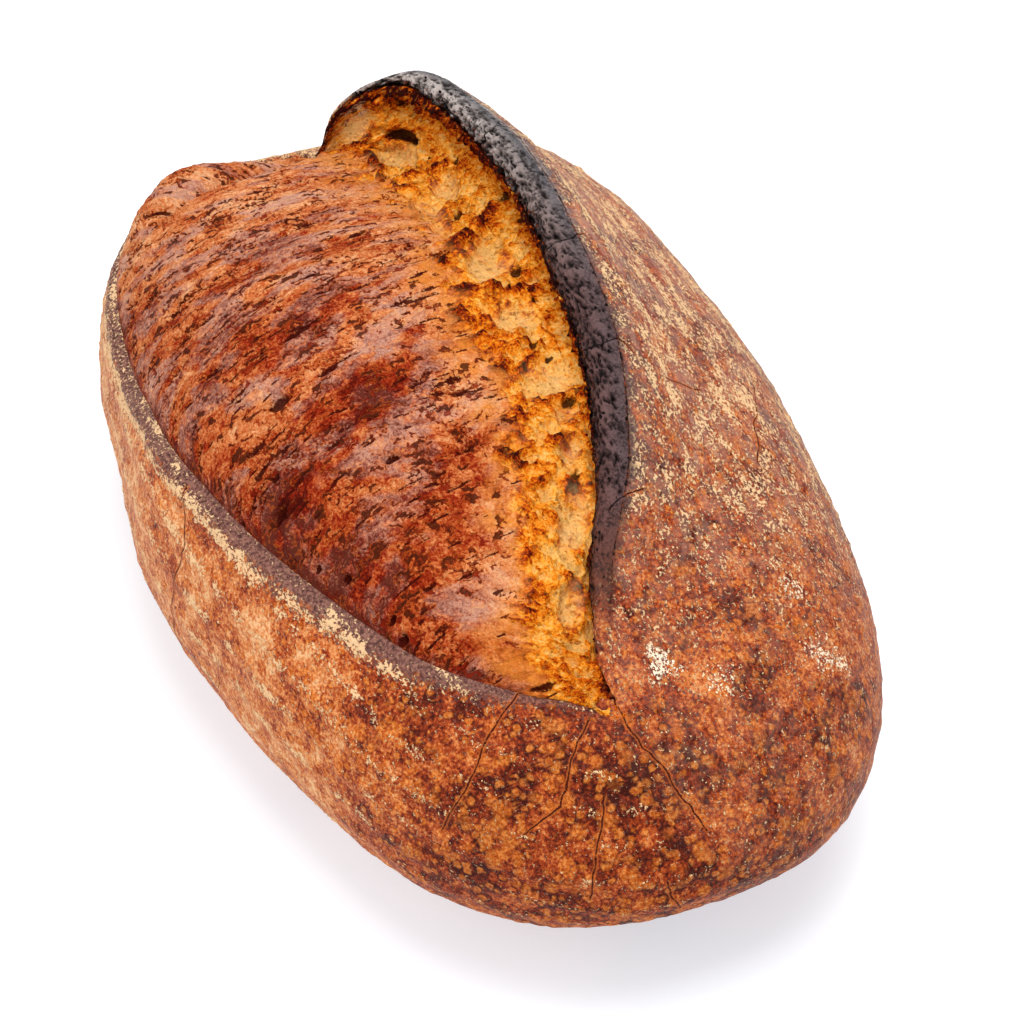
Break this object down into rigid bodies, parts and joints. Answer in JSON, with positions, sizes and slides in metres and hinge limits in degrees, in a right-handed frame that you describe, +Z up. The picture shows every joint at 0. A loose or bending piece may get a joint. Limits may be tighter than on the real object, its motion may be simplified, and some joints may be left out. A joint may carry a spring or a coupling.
{
  "type": "sourdough loaf",
  "caption": "Free-standing oval sourdough loaf, scored once, with a wide torn bloom and a thick raised ear along the cut.",
  "frame": {"origin": "middle of the flat sole, under the centre of the loaf's box", "axes": "+X along the loaf towards the end where the cut closes to a point, -Y towards the torn bloom, +Y towards the ear, +Z up from the sole"},
  "size_m": [0.272, 0.1608, 0.1177],
  "materials": {
    "crust": "matte",
    "bloom": "satin",
    "flour": "matte"
  },
  "bodies": {
    "root": {"loaf": "crust"}
  },
  "joints": []
}
